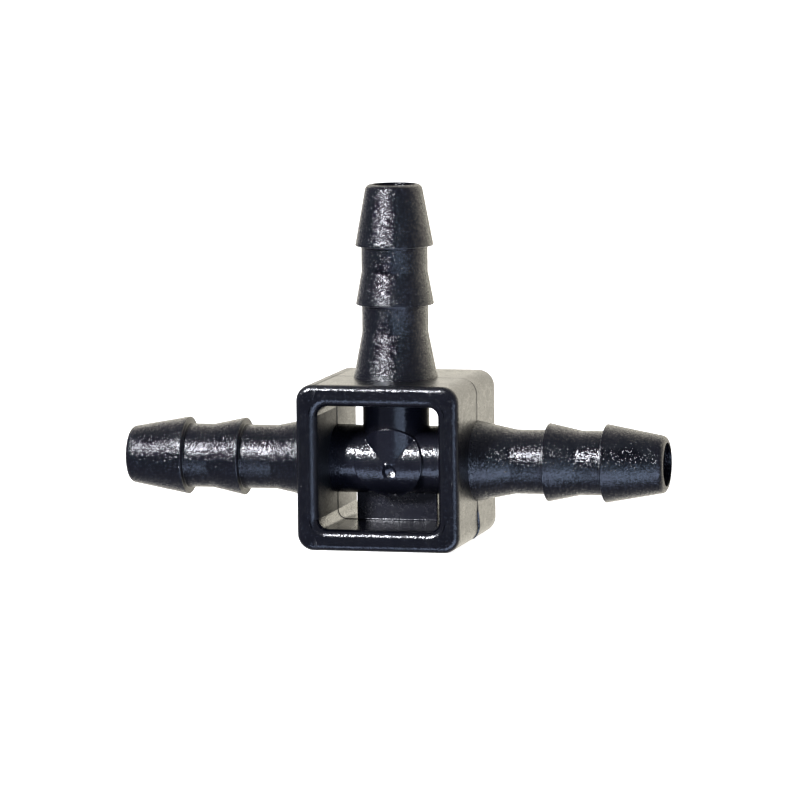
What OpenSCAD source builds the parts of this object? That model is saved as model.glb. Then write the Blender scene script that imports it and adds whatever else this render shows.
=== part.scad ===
// Barbed tee connector for small irrigation tubing.
// One plastic moulding: a square window frame with a tee of round tube inside
// it, and a double-barbed spigot on the left, right and top of the frame.
// Origin: centre of the frame's underside, which is the face it stands on.
// +X along the run, +Z up the branch, -Y towards the gate mark.
// Millimetres.

/* [Frame] */
// Width of the square frame, along the run
frame_w = 12; // [11:0.5:16]
// Height of the frame, along the branch
frame_h = 12; // [11:0.5:16]
// Depth of the frame, front to back
frame_d = 12; // [8:0.5:16]
// Thickness of the four frame walls
wall_t = 1.55; // [1.1:0.05:1.9]
// Radius of the frame's outer corners
corner_r = 1.2; // [0.5:0.1:2]
// Radius of the window's inner corners
window_r = 0.7; // [0.2:0.1:1.2]

/* [Water way] */
// Diameter of the bore through all three ports
bore_d = 3.15; // [2:0.05:3.2]
// Outer diameter of the run tube inside the frame
run_tube_d = 4.92; // [4.5:0.02:5.2]
// How much thinner the branch tube is than the run tube
branch_step = 0.04; // [0.02:0.02:0.2]

/* [Spigots] */
// Length of each spigot, from the frame's outer face to its tip
spigot_l = 14; // [12:0.5:18]
// Diameter of the run spigots' flared root, at the frame
root_d = 5.85; // [5.2:0.05:6.4]
// Length of the run spigots' flared root
root_l = 2.9; // [2:0.1:4]
// Diameter of the run spigots' necks, behind the barbs
neck_d = 4.67; // [4.4:0.01:5]
// Diameter of the branch spigot's flared root, at the frame
branch_root_d = 6.1; // [5.2:0.05:6.4]
// Length of the branch spigot's flared root
branch_root_l = 3.3; // [2:0.1:4]
// Diameter of the branch spigot's necks, behind the barbs
branch_neck_d = 4.82; // [4.4:0.01:5]
// Diameter of both barb rims
barb_d = 5.7; // [5.1:0.1:6.2]
// Distance from the frame to the inner barb's rim
inner_rim = 5.3; // [4.8:0.02:5.8]
// Length of the inner barb's ramp
inner_ramp = 2.4; // [1.5:0.1:3.2]
// Distance from the frame to the outer barb's rim
outer_rim = 9.55; // [9.2:0.05:10.4]
// Diameter of the nose, where the outer barb's ramp ends
nose_d = 4.2; // [4.1:0.02:4.4]
// Radius of the blunt edge round the nose
nose_r = 0.38; // [0.1:0.02:0.44]

/* [Gate boss] */
// Diameter of the round gate boss on the front of the tee
boss_d = 5.08; // [4.9:0.02:5.6]
// How far the boss stands proud of the tubes
boss_proud = 0.25; // [0.2:0.01:0.6]
// Diameter of the gate mark, a shallow dimple in the boss
gate_d = 1.1; // [0.6:0.1:1.6]
// Depth of the gate mark
gate_depth = 0.3; // [0.1:0.05:0.5]
// Sideways place of the gate mark
gate_x = 0.05; // [-0.3:0.05:0.3]
// Distance of the gate mark below the run's axis
gate_drop = 0.61; // [0.1:0.01:0.8]

/* [Support web] */
// Width of the web below the run tube
web_w = 6; // [4:0.5:7]
// Thickness of the web
web_t = 0.8; // [0.5:0.1:1.5]
// How far the web's front face stands in front of the frame's middle plane
web_front = 0.1; // [0.1:0.1:0.3]

/* [Hidden] */
$fn = 96;

axis_z = frame_h / 2;               // height of the run's axis above the base
hw = frame_w / 2;                   // half the frame's width
hh = frame_h / 2;                   // half the frame's height
iw = hw - wall_t;                   // half the window's width
ih = hh - wall_t;                   // half the window's height
bore_r = bore_d / 2;
run_r = run_tube_d / 2;
branch_r = run_r - branch_step;
boss_r = boss_d / 2;
cap_r = run_r + boss_proud;         // radius of the boss's saddle faces
big = 60;                           // longer than the part, for cutting

plastic = [0.035, 0.038, 0.048];

// Rectangle with rounded corners, centred, from two squares and four circles.
module rounded_rect(w, h, r) {
    square([w - 2 * r, h], center = true);
    square([w, h - 2 * r], center = true);
    for (sx = [-1, 1], sz = [-1, 1])
        translate([sx * (w / 2 - r), sz * (h / 2 - r)]) circle(r = r);
}

// Front view of the frame: rounded outside, rounded window.
module frame_outline() {
    difference() {
        rounded_rect(frame_w, frame_h, corner_r);
        rounded_rect(2 * iw, 2 * ih, window_r);
    }
}

// Moves a shape drawn around the tee's centre up to its place above the base.
module at_tee() { translate([0, 0, axis_z]) children(); }

// Gives a front-view outline the frame's depth, centred on the middle plane.
module through_depth() {
    rotate([90, 0, 0]) linear_extrude(height = frame_d, center = true) children();
}

module x_cylinder(r, l) { rotate([0, 90, 0]) cylinder(r = r, h = l, center = true); }

// Both bores of the tee, for cutting: the run right through, the branch from
// the run's axis upwards.
module run_bore() { x_cylinder(bore_r, big); }
module branch_bore() { cylinder(r = bore_r, h = big); }

// Side wall of the frame, full height with its two rounded outer corners.
module side_wall(side) {
    color(plastic) at_tee() difference() {
        through_depth() intersection() {
            frame_outline();
            translate([side * (iw + hw + 1) / 2, 0]) square([hw + 1 - iw, frame_h + 2], center = true);
        }
        run_bore();
    }
}

// Top or bottom wall, between the side walls, with the window's inner corners.
module level_wall(side) {
    through_depth() intersection() {
        frame_outline();
        translate([0, side * (hh - 0.5)]) square([2 * iw, hh], center = true);
    }
}

module frame_left_wall() { side_wall(-1); }
module frame_right_wall() { side_wall(1); }

module frame_top_wall() {
    color(plastic) at_tee() difference() {
        level_wall(1);
        branch_bore();
    }
}

module frame_bottom_wall() { color(plastic) at_tee() level_wall(-1); }

// Straight tube across the window, with the branch's bore let into its top.
module run_tube() {
    color(plastic) at_tee() difference() {
        x_cylinder(run_r, 2 * iw);
        run_bore();
        branch_bore();
    }
}

// Tube from the run tube's back up to the top wall, saddled onto the run tube.
module branch_tube() {
    color(plastic) at_tee() difference() {
        cylinder(r = branch_r, h = ih);
        x_cylinder(run_r, frame_w);
        branch_bore();
    }
}

// Spigot along +Z from z = 0: flared root, neck, inner barb, neck, outer barb
// with a blunt nose, and the bore right through.
module spigot(root_r, root_len, neck_r) {
    rotate_extrude() {
        polygon([
            [bore_r, 0],
            [root_r, 0],
            [neck_r, root_len],
            [neck_r, inner_rim],
            [barb_d / 2, inner_rim],
            [neck_r, inner_rim + inner_ramp],
            [neck_r, outer_rim],
            [barb_d / 2, outer_rim],
            [nose_d / 2, spigot_l - nose_r],
            [nose_d / 2 - nose_r * 0.3, spigot_l - nose_r * 0.3],
            [nose_d / 2 - nose_r, spigot_l],
            [bore_r, spigot_l]
        ]);
    }
}

module run_spigot() { spigot(root_d / 2, root_l, neck_d / 2); }

module left_spigot() {
    color(plastic) at_tee() translate([-hw, 0, 0]) rotate([0, -90, 0]) run_spigot();
}
module right_spigot() {
    color(plastic) at_tee() translate([hw, 0, 0]) rotate([0, 90, 0]) run_spigot();
}
module branch_spigot() {
    color(plastic) at_tee() translate([0, 0, hh]) spigot(branch_root_d / 2, branch_root_l, branch_neck_d / 2);
}

// Round boss on the front of the tee. Its face repeats the tubes' two saddle
// shapes a little larger, and a shallow dimple marks the gate.
module gate_boss() {
    color(plastic) at_tee() difference() {
        intersection() {
            translate([0, -web_front, 0]) rotate([90, 0, 0]) cylinder(r = boss_r, h = cap_r + 1);
            union() {
                x_cylinder(cap_r, frame_w);
                cylinder(r = cap_r - 0.01, h = frame_h / 2);
            }
        }
        x_cylinder(run_r, frame_w + 1);
        cylinder(r = branch_r, h = frame_h);
        translate([gate_x, gate_depth - cap_r, -gate_drop]) rotate([90, 0, 0])
            cylinder(r1 = gate_d / 4, r2 = gate_d / 2, h = gate_depth);
    }
}

// Flat web between the run tube and the bottom wall, on the middle plane.
module support_web() {
    color(plastic) at_tee() difference() {
        translate([-web_w / 2, -web_front, -ih]) cube([web_w, web_t, ih]);
        x_cylinder(run_r, frame_w);
    }
}

frame_left_wall();
frame_right_wall();
frame_top_wall();
frame_bottom_wall();
run_tube();
branch_tube();
left_spigot();
right_spigot();
branch_spigot();
gate_boss();
support_web();
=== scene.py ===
"""Barbed tee connector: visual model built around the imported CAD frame.
Shapes are worked out in millimetres round the tee's centre and written in metres in the row frame."""

import math

import bmesh
import bpy
import numpy as np
from mathutils import Matrix, Quaternion, Vector


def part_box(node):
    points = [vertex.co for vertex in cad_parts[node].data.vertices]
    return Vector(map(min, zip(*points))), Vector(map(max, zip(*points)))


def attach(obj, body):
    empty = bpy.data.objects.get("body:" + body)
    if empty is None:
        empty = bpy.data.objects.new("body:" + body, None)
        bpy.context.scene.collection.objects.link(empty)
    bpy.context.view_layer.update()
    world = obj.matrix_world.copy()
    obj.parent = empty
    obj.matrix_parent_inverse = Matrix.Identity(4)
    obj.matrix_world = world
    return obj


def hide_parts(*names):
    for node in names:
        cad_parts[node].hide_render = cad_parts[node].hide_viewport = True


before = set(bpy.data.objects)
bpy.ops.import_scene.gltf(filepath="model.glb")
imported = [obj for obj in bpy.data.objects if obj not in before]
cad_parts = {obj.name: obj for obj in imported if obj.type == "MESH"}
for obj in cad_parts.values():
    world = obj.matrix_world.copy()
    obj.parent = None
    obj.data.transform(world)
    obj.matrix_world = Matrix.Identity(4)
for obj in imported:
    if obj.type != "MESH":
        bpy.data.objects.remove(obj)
scene = bpy.context.scene
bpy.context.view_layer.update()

MM = 0.001
box_l, box_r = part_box("frame_left_wall"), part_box("frame_right_wall")
HW = (box_r[1].x - box_l[0].x) / 2 / MM          # half the frame's width
HD = (box_r[1].y - box_r[0].y) / 2 / MM          # half its depth
HH = (box_r[1].z - box_r[0].z) / 2 / MM          # half its height
AXIS_Z = (box_r[1].z + box_r[0].z) / 2 / MM      # height of the tee's centre
IW = box_r[0].x / MM                             # half the window's width
IH = HH - (HW - IW)                              # half its height
RUN_R = (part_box("run_tube")[1].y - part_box("run_tube")[0].y) / 2 / MM
BRANCH_R = (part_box("branch_tube")[1].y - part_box("branch_tube")[0].y) / 2 / MM
BOSS_R = (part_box("gate_boss")[1].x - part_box("gate_boss")[0].x) / 2 / MM
CAP_R = -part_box("gate_boss")[0].y / MM
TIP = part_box("branch_spigot")[1].z / MM - AXIS_Z  # the spigots' tips, from the tee's centre
WEB = [v / MM for v in (*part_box("support_web")[0], *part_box("support_web")[1])]
BORE_R = 1.575
CORNER_R, WINDOW_R = 1.2, 0.7
GATE_X, GATE_DROP = 0.05, 0.61                    # place of the gate mark on the boss
OUT_R, IN_R = 0.46, 0.57                          # rounding of the frame's outer and window edges
CENTRE = Vector((0, 0, AXIS_Z * MM))


# ---------------------------------------------------------------- camera
def direction(azimuth, elevation):
    """Unit vector from the object towards a compass point: azimuth 0 is -Y, 90 is +X."""
    a, e = math.radians(azimuth), math.radians(elevation)
    return Vector((math.sin(a) * math.cos(e), -math.cos(a) * math.cos(e), math.sin(e)))


PX = 0.0725 * MM  # one pixel at the tee's centre
CAM_AZ, CAM_EL, CAM_ROLL = 14.13, 6.72, math.radians(0.67)
back = direction(CAM_AZ, CAM_EL)
right = Vector((math.cos(math.radians(CAM_AZ)), math.sin(math.radians(CAM_AZ)), 0))
up = back.cross(right)
cam_r = right * math.cos(CAM_ROLL) - up * math.sin(CAM_ROLL)
cam_u = up * math.cos(CAM_ROLL) + right * math.sin(CAM_ROLL)
cam_data = bpy.data.cameras.new("camera")
cam_data.sensor_width, cam_data.lens = 36, 270
cam_data.clip_start, cam_data.clip_end = 0.01, 20
cam = bpy.data.objects.new("camera", cam_data)
scene.collection.objects.link(cam)
m = Matrix((cam_r, cam_u, back)).transposed().to_4x4()
m.translation = CENTRE + (cam_r * 3.13 + cam_u * 59.09 + back * 6000) * PX
cam.matrix_world = m
scene.camera = cam


# ---------------------------------------------------------------- mesh helpers
def new_mesh(name, verts, faces, sharp=35):
    """An object from points in millimetres round the tee's centre."""
    v = np.asarray(verts, float).reshape(-1, 3) + [0, 0, AXIS_Z]
    me = bpy.data.meshes.new(name)
    me.from_pydata((v * MM).tolist(), [], [list(map(int, f)) for f in faces])
    me.update()
    bm = bmesh.new()
    bm.from_mesh(me)
    bmesh.ops.remove_doubles(bm, verts=bm.verts, dist=1e-8)
    bmesh.ops.recalc_face_normals(bm, faces=bm.faces)
    if bm.calc_volume(signed=True) < 0:                        # a closed solid's faces point outwards
        bmesh.ops.reverse_faces(bm, faces=bm.faces)
    bm.to_mesh(me)
    bm.free()
    finish_shading(me, sharp)
    o = bpy.data.objects.new(name, me)
    scene.collection.objects.link(o)
    return o


def finish_shading(me, sharp):
    me.shade_smooth()
    me.set_sharp_from_angle(angle=math.radians(sharp))


def cut(o, tools, op="DIFFERENCE", sharp=35):
    """Applies exact booleans to o, and removes the tools."""
    for t in tools:
        md = o.modifiers.new("cut", "BOOLEAN")
        md.operation, md.object, md.solver = op, t, "EXACT"
    dg = bpy.context.evaluated_depsgraph_get()
    me = bpy.data.meshes.new_from_object(o.evaluated_get(dg))
    old = o.data
    o.modifiers.clear()
    o.data = me
    bpy.data.meshes.remove(old)
    for t in tools:
        bpy.data.objects.remove(t)
    bm = bmesh.new()
    bm.from_mesh(me)
    bmesh.ops.remove_doubles(bm, verts=bm.verts, dist=2e-7)
    bmesh.ops.dissolve_degenerate(bm, edges=bm.edges, dist=1e-7)
    bm.to_mesh(me)
    bm.free()
    finish_shading(me, sharp)
    return o


def grid_faces(rows, cols, wrap_rows=False, wrap_cols=False):
    f = []
    for i in range(rows if wrap_rows else rows - 1):
        for j in range(cols if wrap_cols else cols - 1):
            i2, j2 = (i + 1) % rows, (j + 1) % cols
            f.append((i * cols + j, i2 * cols + j, i2 * cols + j2, i * cols + j2))
    return f


def round_profile(points, steps=6):
    """points: (r, s, corner radius). Returns the closed outline with each corner rounded."""
    out, n = [], len(points)
    for k in range(n):
        p0, p1, p2 = (np.array(points[(k + d) % n][:2], float) for d in (-1, 0, 1))
        rad = points[k][2]
        if rad <= 0:
            out.append(tuple(p1))
            continue
        a, b = p0 - p1, p2 - p1
        la, lb = np.linalg.norm(a), np.linalg.norm(b)
        a, b = a / la, b / lb
        half = math.acos(max(-1, min(1, float(a @ b)))) / 2
        room = [0.45 * d if points[(k + e) % n][2] > 0.1 else d - 1.5 * points[(k + e) % n][2]
                for d, e in ((la, -1), (lb, 1))]
        t = min(rad / math.tan(half), *room)
        rad = t * math.tan(half)
        c = p1 + (a + b) / np.linalg.norm(a + b) * (rad / math.sin(half))
        s0, s1 = p1 + a * t - c, p1 + b * t - c
        a0, a1 = math.atan2(s0[1], s0[0]), math.atan2(s1[1], s1[0])
        d = (a1 - a0 + math.pi) % (2 * math.pi) - math.pi
        for i in range(steps + 1):
            w = a0 + d * i / steps
            out.append((c[0] + rad * math.cos(w), c[1] + rad * math.sin(w)))
    return out


def subdivide_profile(prof, longest):
    """Splits long straight stretches of a closed profile, so the mesh stays even."""
    out, n = [], len(prof)
    for k in range(n):
        p, q = np.array(prof[k]), np.array(prof[(k + 1) % n])
        m = max(1, int(math.ceil(np.linalg.norm(q - p) / longest)))
        out += [tuple(p + (q - p) * i / m) for i in range(m)]
    return out


def seam_bump(theta, height, width):
    """A low ridge at the two parting lines of a round part, at theta = 90 and 270 degrees from -Y."""
    d = np.minimum(np.abs(theta - math.pi / 2), np.abs(theta - 3 * math.pi / 2))
    return height * np.clip(1 - d / width, 0, 1)


def lathe(name, prof, frame3, n=224, seam=0.012, sharp=32):
    """Revolves a closed profile of (radius, along). frame3 holds the axis origin, the axis and the
    direction that theta is measured from. Radii beyond the bore take a fine parting ridge."""
    origin, axis, front = (np.array(v, float) for v in frame3)
    side = np.cross(axis, front)
    base = np.linspace(0, 2 * math.pi, n, endpoint=False)
    extra = [c + d for c in (math.pi / 2, 3 * math.pi / 2) for d in (-0.022, -0.011, 0.011, 0.022)]
    th = np.unique(np.round(np.concatenate([base, extra]), 6))
    verts = []
    for r, s in prof:
        bump = seam_bump(th, seam, 0.014) if r > BORE_R + 0.3 else np.zeros_like(th)
        rr = r + bump
        verts.append(origin + axis * s + front * (rr * np.cos(th))[:, None] + side * (rr * np.sin(th))[:, None])
    verts = np.concatenate(verts)
    return new_mesh(name, verts, grid_faces(len(prof), len(th), True, True), sharp)


def cylinder_tool(r, a, b, n=128, spin=0.013):
    """A plain cylinder from a to b, used only to cut others."""
    a, b = np.array(a, float), np.array(b, float)
    ax = (b - a) / np.linalg.norm(b - a)
    e1 = np.cross(ax, [0.0, 1.0, 0.0] if abs(ax[1]) < 0.9 else [1.0, 0.0, 0.0])
    e1 /= np.linalg.norm(e1)
    e2 = np.cross(ax, e1)
    th = np.linspace(0, 2 * math.pi, n, endpoint=False) + spin
    ring = e1 * np.cos(th)[:, None] * r + e2 * np.sin(th)[:, None] * r
    verts = np.concatenate([a + ring, b + ring])
    faces = grid_faces(2, n, False, True) + [tuple(range(n)), tuple(range(2 * n - 1, n - 1, -1))]
    return new_mesh("tool", verts, faces)


# ---------------------------------------------------------------- the square frame
def arc(cx, cz, r, a0, a1, n):
    """Points and normals on an arc in the front view, angles in degrees from +X to +Z."""
    w = np.radians(np.linspace(a0, a1, n))
    nn = np.stack([np.cos(w), np.sin(w)], 1)
    return np.array([cx, cz]) + nn * r, nn


def straight(p, q, normal, n):
    t = np.linspace(0, 1, n)[:, None]
    return np.array(p) + (np.array(q) - np.array(p)) * t, np.tile(normal, (n, 1))


def join(*parts):
    p, n = [], []
    for k, (a, b) in enumerate(parts):
        s = 1 if k else 0
        p.append(a[s:])
        n.append(b[s:])
    return np.concatenate(p), np.concatenate(n)


def frame_section(po, no, pi, ni, ridge_o, ridge_i):
    """One closed loop of points round the wall's section, from an outer and an inner outline point."""
    d, ro, ri = HD, OUT_R, IN_R
    fil = np.linspace(0, math.pi / 2, 13)
    seam_y = np.array([0.06, 0.035, 0.018, 0.0, -0.018, -0.035, -0.06])
    seam_h = np.array([0, 0.3, 0.9, 1.0, 0.9, 0.3, 0])

    def stations(r):
        return np.concatenate([np.linspace(d - r, 0.3, 9), seam_y, np.linspace(-0.3, -(d - r), 9)])

    loop = []
    yo, yi = stations(ro), -stations(ri)
    for y, h in zip(yo, np.interp(-yo, -seam_y, seam_h, left=0, right=0)):   # outer wall, back to front
        q = po + no * (h * ridge_o[0])
        loop.append((q[0], y + ridge_o[1] * (1 if abs(y) < 0.2 else 0), q[1]))
    for f in fil[1:]:                                          # outer front edge
        q = po - no * ro * (1 - math.cos(f))
        loop.append((q[0], -(d - ro) - ro * math.sin(f), q[1]))
    a, b = po - no * ro, pi + ni * ri
    for t in (0.03, 0.25, 0.5, 0.75, 0.97):                    # front face
        q = a + (b - a) * t
        loop.append((q[0], -d, q[1]))
    for f in fil[::-1]:                                        # inner front edge
        q = pi + ni * ri * (1 - math.cos(f))
        loop.append((q[0], -(d - ri) - ri * math.sin(f), q[1]))
    for y, h in list(zip(yi, np.interp(-yi, -seam_y, seam_h, left=0, right=0)))[1:]:  # inner wall, front to back
        q = pi - ni * (h * ridge_i[0])
        loop.append((q[0], y + ridge_i[1] * (1 if abs(y) < 0.2 else 0), q[1]))
    for f in fil[1:]:                                          # inner back edge
        q = pi + ni * ri * (1 - math.cos(f))
        loop.append((q[0], (d - ri) + ri * math.sin(f), q[1]))
    for t in (0.97, 0.75, 0.5, 0.25, 0.03):                    # back face
        q = a + (b - a) * t
        loop.append((q[0], d, q[1]))
    for f in fil[::-1][:-1]:                                   # outer back edge
        q = po - no * ro * (1 - math.cos(f))
        loop.append((q[0], (d - ro) + ro * math.sin(f), q[1]))
    return loop


def flash(x, z, inner):
    """Height and sideways wander of the parting ridge at a point of the outline: a hair line all
    round, and a thicker, wavy flash low on the right."""
    if inner:
        return 0.05, 0.012 * math.sin(2.3 * x - 2.9 * z)
    h, w = 0.03, 0.012 * math.sin(3.1 * x + 1.7 * z)
    if z > HH - 0.3:
        h = 0.012
    if z < -HH + 0.3:
        h = 0.0
    if x > 0 and -HH + 0.3 <= z < -2.6:                        # low on the right wall and round its corner
        t = min(1.0, (-2.6 - z) / 1.2)
        h += 0.085 * t * math.exp(-((z + 4.5) / 0.9) ** 2) + 0.02 * t
        w += 0.12 * t * math.sin((z + 2.6) * 1.9) + 0.03 * math.sin(z * 9)
    return h, w


def wall_piece(name, outer, inner):
    """Lofts the section between matching outer and inner outlines and closes both ends."""
    (po, no), (pi, ni) = outer, inner
    loops = [frame_section(po[k], no[k], pi[k], ni[k], flash(*po[k], False), flash(*pi[k], True)) for k in range(len(po))]
    n = len(loops[0])
    verts = np.array(loops).reshape(-1, 3)
    faces = grid_faces(len(loops), n, False, True)
    outer_n, inner_n, rim = 25, 25, 29                         # points on the outer wall, inner wall and each rim
    for base in (0, len(verts) - n):
        f = [base + outer_n + j for j in range(rim)]           # front rim, outer to inner
        r = [base + n - 1 - j for j in range(rim)]             # rear rim, the same way
        faces.append(tuple([base + j for j in range(outer_n)] + [f[0], r[0]]))
        faces += [(f[j], f[j + 1], r[j + 1], r[j]) for j in range(rim - 1)]
        faces.append(tuple([f[-1]] + [base + outer_n + rim + j for j in range(inner_n)] + [r[-1]]))
    assert n == outer_n + inner_n + 2 * rim
    return new_mesh(name, verts, faces, 40)


def side_wall(side):
    ni, nc, ns = 4, 17, 60
    c = HW - CORNER_R
    ch = HH - CORNER_R
    outer = join(
        straight((IW, HH), (c, HH), (0, 1), ni),
        arc(c, ch, CORNER_R, 90, 0, nc),
        straight((HW, ch), (HW, -ch), (1, 0), ns),
        arc(c, -ch, CORNER_R, 0, -90, nc),
        straight((c, -HH), (IW, -HH), (0, -1), ni),
    )
    total = len(outer[0])
    zi = IH - WINDOW_R
    k0 = ni - 1 + nc - 1
    zs = np.concatenate([
        np.linspace(zi, zi - 0.25, k0 + 1)[:-1],
        np.linspace(zi - 0.25, -(zi - 0.25), total - 2 * k0),
        np.linspace(-(zi - 0.25), -zi, k0 + 1)[1:],
    ])
    inner = (np.stack([np.full(total, IW), zs], 1), np.tile((1.0, 0.0), (total, 1)))
    if side < 0:
        flip = np.array([-1, 1])
        outer = (outer[0] * flip, outer[1] * flip)
        inner = (inner[0] * flip, inner[1] * flip)
    return outer, inner


def level_wall(side):
    nc, ns = 13, 60
    x = IW - WINDOW_R
    z = IH - WINDOW_R
    inner = join(
        arc(-x, z, WINDOW_R, 180, 90, nc),
        straight((-x, IH), (x, IH), (0, 1), ns),
        arc(x, z, WINDOW_R, 90, 0, nc),
    )
    total = len(inner[0])
    xs = np.concatenate([
        np.linspace(-IW, -x - 0.1, nc)[:-1],
        np.linspace(-x - 0.1, x + 0.1, ns),
        np.linspace(x + 0.1, IW, nc)[1:],
    ])
    outer = (np.stack([xs, np.full(total, HH)], 1), np.tile((0.0, 1.0), (total, 1)))
    if side < 0:
        flip = np.array([1, -1])
        outer = (outer[0] * flip, outer[1] * flip)
        inner = (inner[0] * flip, inner[1] * flip)
    return outer, inner


left_wall = wall_piece("left_wall", *side_wall(-1))
right_wall = wall_piece("right_wall", *side_wall(1))
top_wall = wall_piece("top_wall", *level_wall(1))
bottom_wall = wall_piece("bottom_wall", *level_wall(-1))
for o, a, b in ((left_wall, (-9, 0, 0), (-3, 0, 0)), (right_wall, (3, 0, 0), (9, 0, 0)), (top_wall, (0, 0, 3), (0, 0, 9))):
    cut(o, [cylinder_tool(BORE_R, a, b, 144, 0.021)], sharp=40)


# ---------------------------------------------------------------- spigots
L = TIP - HW


def spigot_profile(root_r, root_l, neck_r):
    return subdivide_profile(round_profile([
        (BORE_R, L, 0.035),
        (BORE_R, 0, 0),
        (root_r, 0, 0),
        (neck_r, root_l, 0.6),
        (neck_r, 5.3, 0.05),
        (2.85, 5.3, 0.08),
        (neck_r, 7.7, 0.5),
        (neck_r, 9.55, 0.05),
        (2.85, 9.55, 0.08),
        (2.03, L, 0.43),
    ], 9), 0.3)


run_profile = spigot_profile(2.925, 2.9, 2.335)
left_spigot = lathe("left_barbed_spigot", run_profile, ((-HW, 0, 0), (-1, 0, 0), (0, -1, 0)))
right_spigot = lathe("right_barbed_spigot", run_profile, ((HW, 0, 0), (1, 0, 0), (0, -1, 0)))
branch_spigot = lathe("branch_barbed_spigot", spigot_profile(3.05, 3.3, 2.41), ((0, 0, HH), (0, 0, 1), (0, -1, 0)))


# ---------------------------------------------------------------- tubes inside the frame
def tube_profile(r, a, b):
    return subdivide_profile([(BORE_R, b), (BORE_R, a), (r, a), (r, b)], 0.35)


run_tube = lathe("run_tube_body", tube_profile(RUN_R, -IW, IW), ((0, 0, 0), (1, 0, 0), (0, -1, 0)), seam=0.03)
cut(run_tube, [cylinder_tool(BORE_R, (0, 0, 0.2), (0, 0, 6))])
branch_tube = lathe("branch_tube_body", tube_profile(BRANCH_R, 0.3, IH), ((0, 0, 0), (0, 0, 1), (0, -1, 0)))
cut(branch_tube, [cylinder_tool(RUN_R - 0.004, (-6, 0, 0), (6, 0, 0), 256)])


# ---------------------------------------------------------------- gate boss
def cap_depth(x, z):
    """How far the boss's face stands in front of the middle plane: the run's and the branch's
    round shapes, a little larger than the tubes, meeting at a crease, less the gate mark."""
    run = np.sqrt(np.clip(CAP_R ** 2 - (z + 0.09) ** 2, 0, None))   # its crest lies a little low
    rb = CAP_R + 0.05
    below = np.clip(-z, 0, None)
    br = np.sqrt(np.clip(rb ** 2 - x ** 2 - below ** 2, 0, None)) - 0.06 * np.clip(below / 0.35, 0, 1)
    k = 0.03
    h = np.clip(k - np.abs(run - br), 0, None) / k
    d = np.maximum(run, br) + h * h * k / 4
    qx, qz = x - GATE_X, z + GATE_DROP
    q = np.hypot(qx, qz)
    # a torn-off gate leaves a small crater with a slanted floor, and a nib at its upper left
    rim = 0.54 + 0.02 * np.cos(3 * np.arctan2(qz, qx) + 0.6)
    t = np.clip(1 - q / rim, 0, 1)
    bowl = 0.32 * (1 - (1 - t) ** 3)
    floor_d = 0.17 + 0.66 * (qz + 0.14) + 0.9 * np.clip(0.04 - qx, 0, None)
    bowl = np.clip(np.minimum(bowl, np.maximum(floor_d, 0.02 * t)), 0, None)
    off = np.hypot(qx + 0.19, qz - 0.43)
    bowl = bowl * (1 - np.exp(-(off / 0.16) ** 2))
    return d - bowl + 0.11 * np.exp(-off ** 2 / (2 * 0.11 ** 2))


def boss():
    rings = np.concatenate([np.linspace(0.0, 0.75, 34)[1:], np.linspace(0.75, BOSS_R - 0.10, 46)[1:]])
    n = 288
    th = np.linspace(0, 2 * math.pi, n, endpoint=False)
    verts = []

    # the polar grid is centred on the gate mark, so its rim is a clean circle
    def add_ring(q):
        w = np.clip((q - 0.75) / (BOSS_R - 0.10 - 0.75), 0, 1)
        cx, cz = GATE_X * (1 - w), -GATE_DROP * (1 - w)
        x, z = cx + q * np.cos(th), cz + q * np.sin(th)
        verts.extend(np.stack([x, -cap_depth(x, z), z], 1).tolist())

    for q in rings:
        add_ring(q)
    edge = 0.10
    for f in np.linspace(0, math.pi / 2, 9)[1:]:                 # rounded rim
        r = BOSS_R - edge + edge * math.sin(f)
        x, z = r * np.cos(th), r * np.sin(th)
        inner = (BOSS_R - edge) / r
        verts.extend(np.stack([x, -cap_depth(x * inner, z * inner) + edge * (1 - math.cos(f)), z], 1).tolist())

    def tube_depth(x, z):
        run = np.sqrt(np.clip(RUN_R ** 2 - z ** 2, 0, None))
        br = np.where(z > 0, np.sqrt(np.clip(BRANCH_R ** 2 - x ** 2, 0, None)), 0)
        return np.maximum(np.maximum(run, br) - 0.14, 0.1)

    x, z = BOSS_R * np.cos(th), BOSS_R * np.sin(th)
    inner = (BOSS_R - edge) / BOSS_R
    front = cap_depth(x * inner, z * inner) - edge
    rear = np.minimum(tube_depth(x, z), front - 0.02)
    for t in (0.15, 0.4, 0.7, 1.0):                             # side, going back into the tubes
        verts.extend(np.stack([x, -(front + (rear - front) * t), z], 1).tolist())
    for q in np.linspace(1, 0, 26)[1:-1]:                       # hidden back, just inside the tubes' walls
        r = BOSS_R * q
        x2, z2 = r * np.cos(th), r * np.sin(th)
        verts.extend(np.stack([x2, -tube_depth(x2, z2), z2], 1).tolist())
    rows = len(verts) // n
    faces = grid_faces(rows, n, False, True)
    c0, c1 = len(verts), len(verts) + 1
    verts.append([GATE_X, -float(cap_depth(np.array(GATE_X), np.array(-GATE_DROP))), -GATE_DROP])
    verts.append([0, -float(tube_depth(np.array(0.0), np.array(0.0))), 0])
    faces += [(c0, j, (j + 1) % n) for j in range(n)]
    last = (rows - 1) * n
    faces += [(c1, last + (j + 1) % n, last + j) for j in range(n)]
    return new_mesh("gate_boss_disc", verts, faces, 38)


gate_boss = boss()


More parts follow.
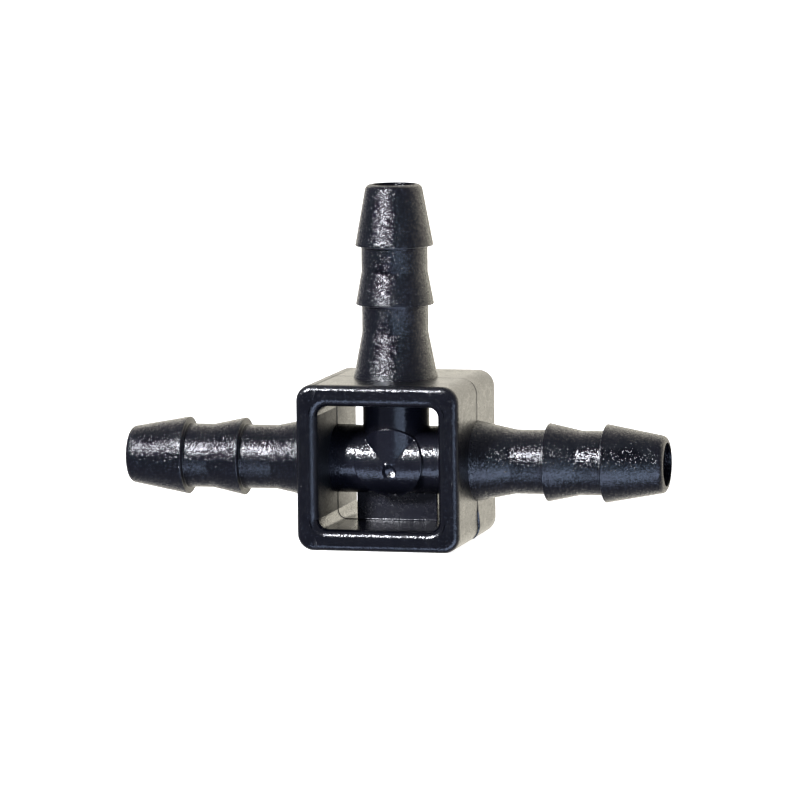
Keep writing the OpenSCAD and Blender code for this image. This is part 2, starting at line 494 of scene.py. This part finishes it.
# ---------------------------------------------------------------- support web
def web():
    x0, y0, z0 = WEB[0], WEB[1], -IH
    x1, y1 = WEB[3], WEB[4]
    top = -2.1
    foot = 0.09                                               # small fillet at the foot
    zs = [z0] + [z0 + foot * (1 - math.cos(w)) for w in np.linspace(0, math.pi / 2, 6)[1:]] + list(np.linspace(z0 + foot, top, 9)[1:])
    grow = [foot] + [foot * (1 - math.sin(w)) for w in np.linspace(0, math.pi / 2, 6)[1:]] + [0] * 8
    er = 0.12

    def outline(g):
        pts = []
        for cx, cy, a0 in ((x1 + g - er, y1 + g - er, 0), (x0 - g + er, y1 + g - er, 90), (x0 - g + er, y0 - g + er, 180), (x1 + g - er, y0 - g + er, 270)):
            for w in np.radians(np.linspace(a0, a0 + 90, 7)):
                pts.append((cx + er * math.cos(w), cy + er * math.sin(w)))
        return pts

    verts = []
    for z, g in zip(zs, grow):
        verts += [(x, y, z) for x, y in outline(g)]
    n = 28
    faces = grid_faces(len(zs), n, False, True)
    faces += [tuple(range(n)), tuple(range(len(verts) - 1, len(verts) - n - 1, -1))]
    return new_mesh("web_plate", verts, faces, 40)


support_web = web()


# ---------------------------------------------------------------- materials
def plastic(name, rough, spread, grain, grain_size, waviness, facets, streak=0.0, axis="X",
            tint=(0.0012, 0.0013, 0.0026), sides=0.0, core=0.0, ends=0.0):
    """Black moulded plastic. rough is the polish between the grains and spread how much it varies.
    grain and waviness are heights in millimetres of the mould's spark-eroded texture and of the
    slow shrinkage waves, and streak that of the fine turned lines round a spigot. facets is how far
    the grain's own little faces lean, which gives the sparkle. sides is how much rougher the
    mould left the faces that point left, right, up and down than the polished front and back, and
    core how much rougher again the front core left the window's side, fading out behind the parting
    line. ends is how much rougher the flat backs of the barbs are, square to the spigot's axis."""
    mat = bpy.data.materials.new(name)
    mat.use_nodes = True
    nt = mat.node_tree
    nt.nodes.clear()
    N, Lk = nt.nodes.new, nt.links.new
    out, bsdf, tc = N("ShaderNodeOutputMaterial"), N("ShaderNodeBsdfPrincipled"), N("ShaderNodeTexCoord")
    Lk(bsdf.outputs[0], out.inputs["Surface"])
    bsdf.inputs["IOR"].default_value = 1.5

    def noise(size_mm, detail, roughness, offset=0.0, stretch=(1, 1, 1)):
        n = N("ShaderNodeTexNoise")
        n.inputs["Scale"].default_value = 1000 / size_mm
        n.inputs["Detail"].default_value = detail
        n.inputs["Roughness"].default_value = roughness
        mp = N("ShaderNodeMapping")
        mp.inputs["Location"].default_value = (offset, offset * 1.7, offset * 0.6)
        mp.inputs["Scale"].default_value = stretch
        Lk(tc.outputs["Object"], mp.inputs[0])
        Lk(mp.outputs[0], n.inputs["Vector"])
        return n

    def ramp(src, lo, hi, c0, c1):
        r = N("ShaderNodeValToRGB")
        r.color_ramp.elements[0].position, r.color_ramp.elements[0].color = lo, (*c0, 1)
        r.color_ramp.elements[1].position, r.color_ramp.elements[1].color = hi, (*c1, 1)
        Lk(src, r.inputs[0])
        return r

    # colour: faint cloudy flow of the pigment
    cloud = noise(1.6, 3, 0.55)
    col = ramp(cloud.outputs["Fac"], 0.3, 0.7, tuple(c * 0.8 for c in tint), tuple(c * 1.25 for c in tint))
    Lk(col.outputs[0], bsdf.inputs["Base Color"])
    # roughness: broad patches and fine specks
    patch, speck = noise(0.9, 2, 0.5, 0.011), noise(grain_size * 1.5, 1, 0.5, 0.023)
    mixr = N("ShaderNodeMath")
    mixr.operation = "MULTIPLY_ADD"
    Lk(speck.outputs["Fac"], mixr.inputs[0])
    mixr.inputs[1].default_value = 0.6
    Lk(patch.outputs["Fac"], mixr.inputs[2])
    rr = N("ShaderNodeMapRange")
    rr.inputs["From Min"].default_value, rr.inputs["From Max"].default_value = 0.55, 1.05
    rr.inputs["To Min"].default_value, rr.inputs["To Max"].default_value = max(0.04, rough - spread), rough + spread
    Lk(mixr.outputs[0], rr.inputs["Value"])
    if sides:
        sep, flat, mul, add = N("ShaderNodeSeparateXYZ"), N("ShaderNodeMath"), N("ShaderNodeMapRange"), N("ShaderNodeMath")
        Lk(tc.outputs["Normal"], sep.inputs[0])
        flat.operation, add.operation = "ABSOLUTE", "ADD"
        Lk(sep.outputs["Y"], flat.inputs[0])
        mul.inputs["From Min"].default_value, mul.inputs["From Max"].default_value = 0.75, 1.0
        mul.inputs["To Min"].default_value, mul.inputs["To Max"].default_value = sides, 0
        Lk(flat.outputs[0], mul.inputs["Value"])
        Lk(rr.outputs[0], add.inputs[0])
        Lk(mul.outputs[0], add.inputs[1])
        if core:
            place, ax, near, window, part, more = (N("ShaderNodeSeparateXYZ"), N("ShaderNodeMath"), N("ShaderNodeMapRange"),
                                                   N("ShaderNodeMapRange"), N("ShaderNodeMath"), N("ShaderNodeMath"))
            Lk(tc.outputs["Object"], place.inputs[0])
            ax.operation, part.operation, more.operation = "ABSOLUTE", "MULTIPLY", "ADD"
            Lk(place.outputs["X"], ax.inputs[0])
            near.inputs["From Min"].default_value, near.inputs["From Max"].default_value = -0.0003, 0.0042
            near.inputs["To Min"].default_value, near.inputs["To Max"].default_value = 1, 0
            window.inputs["From Min"].default_value, window.inputs["From Max"].default_value = (IW + 0.05) * MM, (IW + 0.3) * MM
            window.inputs["To Min"].default_value, window.inputs["To Max"].default_value = core, 0
            Lk(place.outputs["Y"], near.inputs["Value"])
            Lk(ax.outputs[0], window.inputs["Value"])
            Lk(near.outputs[0], part.inputs[0])
            Lk(window.outputs[0], part.inputs[1])
            Lk(add.outputs[0], more.inputs[0])
            Lk(part.outputs[0], more.inputs[1])
            add = more
        Lk(add.outputs[0], bsdf.inputs["Roughness"])
    elif ends:
        sep, along, mul, add = N("ShaderNodeSeparateXYZ"), N("ShaderNodeMath"), N("ShaderNodeMapRange"), N("ShaderNodeMath")
        Lk(tc.outputs["Normal"], sep.inputs[0])
        along.operation, add.operation = "ABSOLUTE", "ADD"
        Lk(sep.outputs[axis], along.inputs[0])
        mul.inputs["From Min"].default_value, mul.inputs["From Max"].default_value = 0.75, 1.0
        mul.inputs["To Min"].default_value, mul.inputs["To Max"].default_value = 0, ends
        Lk(along.outputs[0], mul.inputs["Value"])
        Lk(rr.outputs[0], add.inputs[0])
        Lk(mul.outputs[0], add.inputs[1])
        Lk(add.outputs[0], bsdf.inputs["Roughness"])
    else:
        Lk(rr.outputs[0], bsdf.inputs["Roughness"])

    # bump: slow waves of the shrunk plastic, then turned lines, then the mould's grain
    def bump(height, distance, normal=None):
        b = N("ShaderNodeBump")
        b.inputs["Strength"].default_value = 1
        b.inputs["Distance"].default_value = distance * MM
        Lk(height.outputs["Fac"], b.inputs["Height"])
        if normal:
            Lk(normal.outputs[0], b.inputs["Normal"])
        return b

    last = bump(noise(2.2, 2, 0.5, 0.007), waviness)
    if streak:
        along = (1, 0.06, 0.06) if axis == "X" else (0.06, 0.06, 1)
        last = bump(noise(0.13, 1, 0.5, 0.017, along), streak, last)
    last = bump(noise(grain_size * 1.6, 1, 0.5, 0.031), grain, last)

    # facets: each grain leans its own way, by a few degrees, and a few lean much further
    lean = noise(grain_size, 1, 0.6, 0.041)
    shift, scaled, total, unit = (N("ShaderNodeVectorMath") for _ in range(4))
    shift.operation, scaled.operation, total.operation, unit.operation = "SUBTRACT", "MULTIPLY", "ADD", "NORMALIZE"
    shift.inputs[1].default_value = (0.5, 0.5, 0.5)
    Lk(lean.outputs["Color"], shift.inputs[0])
    strength = N("ShaderNodeMapRange")
    strength.inputs["From Min"].default_value, strength.inputs["From Max"].default_value = 0.35, 0.75
    strength.inputs["To Min"].default_value, strength.inputs["To Max"].default_value = 0.55 * facets, 1.9 * facets
    Lk(noise(grain_size * 2.3, 1, 0.5, 0.053).outputs["Fac"], strength.inputs["Value"])
    Lk(shift.outputs[0], scaled.inputs[0])
    Lk(strength.outputs[0], scaled.inputs[1])
    Lk(last.outputs[0], total.inputs[0])
    Lk(scaled.outputs[0], total.inputs[1])
    Lk(total.outputs[0], unit.inputs[0])
    Lk(unit.outputs[0], bsdf.inputs["Normal"])
    return mat


BLACK = (0.0012, 0.0013, 0.0026)
spigot_x = plastic("black_plastic_spigot_run", 0.19, 0.05, 0.006, 0.072, 0.010, 1.15, 0.004, "X", BLACK, ends=0.24)
spigot_z = plastic("black_plastic_spigot_branch", 0.20, 0.05, 0.006, 0.072, 0.010, 1.35, 0.003, "Z", BLACK, ends=0.24)
frame_mat = plastic("black_plastic_frame", 0.18, 0.04, 0.004, 0.085, 0.008, 0.62, tint=BLACK, sides=0.12)
left_mat = plastic("black_plastic_frame_left", 0.18, 0.04, 0.004, 0.085, 0.008, 0.55, tint=BLACK, sides=0.16, core=0.20)
bottom_mat = plastic("black_plastic_frame_bottom", 0.18, 0.04, 0.004, 0.085, 0.008, 0.42, tint=BLACK)
# The run and branch tubes, the boss and the web sit in the frame's shade. Their base colour is a lighter copy of the
# black, painted fill light that lifts their shaded surfaces.
tube_x = plastic("black_plastic_run_tube_painted_fill", 0.17, 0.04, 0.003, 0.085, 0.012, 0.42, 0.003, "X", (0.0052, 0.0054, 0.0082))
tube_z = plastic("black_plastic_branch_tube_painted_fill", 0.18, 0.04, 0.003, 0.085, 0.010, 0.30, 0.003, "Z", (0.0052, 0.0054, 0.0082))
boss_mat = plastic("black_plastic_boss_painted_fill", 0.18, 0.04, 0.003, 0.085, 0.010, 0.42, tint=(0.0035, 0.0037, 0.006))
web_mat = plastic("black_plastic_web_painted_fill", 0.25, 0.05, 0.003, 0.09, 0.008, 0.33, tint=(0.0045, 0.0047, 0.008))

pieces = [
    (left_wall, "frame_left_wall", left_mat), (right_wall, "frame_right_wall", frame_mat),
    (top_wall, "frame_top_wall", frame_mat), (bottom_wall, "frame_bottom_wall", bottom_mat),
    (run_tube, "run_tube", tube_x), (branch_tube, "branch_tube", tube_z),
    (left_spigot, "left_spigot", spigot_x), (right_spigot, "right_spigot", spigot_x),
    (branch_spigot, "branch_spigot", spigot_z),
    (gate_boss, "gate_boss", boss_mat), (support_web, "support_web", web_mat),
]
for o, node, mat in pieces:
    o.data.materials.clear()
    o.data.materials.append(mat)
    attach(o, "root")
    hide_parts(node)
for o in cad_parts.values():
    o.data.materials.clear()
    o.data.materials.append(frame_mat)


# ---------------------------------------------------------------- stage and light
def area(name, azimuth, elevation, distance, width, height, radiance, colour, roll=0.0):
    data = bpy.data.lights.new(name, "AREA")
    data.shape, data.size, data.size_y = "RECTANGLE", width, height
    data.energy = radiance * width * height * math.pi
    data.color = colour
    o = bpy.data.objects.new(name, data)
    scene.collection.objects.link(o)
    d = direction(azimuth, elevation)
    o.location = CENTRE + d * distance
    o.rotation_mode = "QUATERNION"
    o.rotation_quaternion = d.to_track_quat("Z", "Y") @ Quaternion((0, 0, 1), math.radians(roll))
    return o


key = area("key_softbox", -26.3, 28.8, 0.9, 0.16, 0.16, 235.0, (0.98, 1.0, 1.08))
fill = area("fill_card", 20, -35, 0.5, 0.64, 0.25, 4.0, (0.68, 0.83, 1.2), 20)
fill_low = area("fill_card_upper_edge", 27, -9, 0.5, 0.32, 0.17, 1.5, (0.66, 0.86, 1.2))
for o in (key, fill, fill_low):
    o.visible_camera = False

world = bpy.data.worlds.new("studio")
scene.world = world
world.use_nodes = True
nt = world.node_tree
nt.nodes.clear()
N, Lk = nt.nodes.new, nt.links.new
wo, bg, bgw, mix, lp = (N(t) for t in ("ShaderNodeOutputWorld", "ShaderNodeBackground", "ShaderNodeBackground", "ShaderNodeMixShader", "ShaderNodeLightPath"))
tcw, dot, cr = N("ShaderNodeTexCoord"), N("ShaderNodeVectorMath"), N("ShaderNodeValToRGB")
dot.operation = "DOT_PRODUCT"
bright = direction(166, 4)
dot.inputs[1].default_value = bright
Lk(tcw.outputs["Generated"], dot.inputs[0])
half = N("ShaderNodeMath")
half.operation = "MULTIPLY_ADD"
half.inputs[1].default_value, half.inputs[2].default_value = 0.5, 0.5
Lk(dot.outputs["Value"], half.inputs[0])
Lk(half.outputs[0], cr.inputs[0])
stops = [(-1, 0.18), (0, 0.30), (0.24, 0.48), (0.47, 0.8), (0.7, 1.7), (1, 1.82)]
els = cr.color_ramp.elements
while len(els) < len(stops):
    els.new(0.5)
for e, (c, v) in zip(els, stops):
    warm = min(1, max(0, (c + 0.2)))
    e.position = (c + 1) / 2
    e.color = (v * (0.9 + 0.15 * warm) / 2, v * (0.97 + 0.02 * warm) / 2, v * (1.3 - 0.46 * warm) / 2, 1)
Lk(cr.outputs[0], bg.inputs["Color"])
bg.inputs["Strength"].default_value = 2.0
bgw.inputs["Color"].default_value = (1, 1, 1, 1)
bgw.inputs["Strength"].default_value = 1.0
Lk(lp.outputs["Is Camera Ray"], mix.inputs["Fac"])
Lk(bg.outputs[0], mix.inputs[1])
Lk(bgw.outputs[0], mix.inputs[2])
Lk(mix.outputs[0], wo.inputs["Surface"])

floor_mesh = bpy.data.meshes.new("floor")
s = 6.0
floor_mesh.from_pydata([(-s, -s, 0), (s, -s, 0), (s, s, 0), (-s, s, 0)], [], [(0, 1, 2, 3)])
floor = bpy.data.objects.new("floor", floor_mesh)
scene.collection.objects.link(floor)
fm = bpy.data.materials.new("pale_floor")
fm.use_nodes = True
b = fm.node_tree.nodes["Principled BSDF"]
b.inputs["Base Color"].default_value = (0.9, 0.9, 0.9, 1)
b.inputs["Roughness"].default_value = 0.9
b.inputs["Emission Color"].default_value = (1, 1, 1, 1)
b.inputs["Emission Strength"].default_value = 0.95
floor_mesh.materials.append(fm)
for attr in ("visible_glossy", "visible_diffuse", "visible_transmission", "visible_shadow"):
    setattr(floor, attr, False)

scene.view_settings.view_transform = "Standard"
scene.view_settings.look = "None"
scene.view_settings.exposure = 0
scene.view_settings.gamma = 1
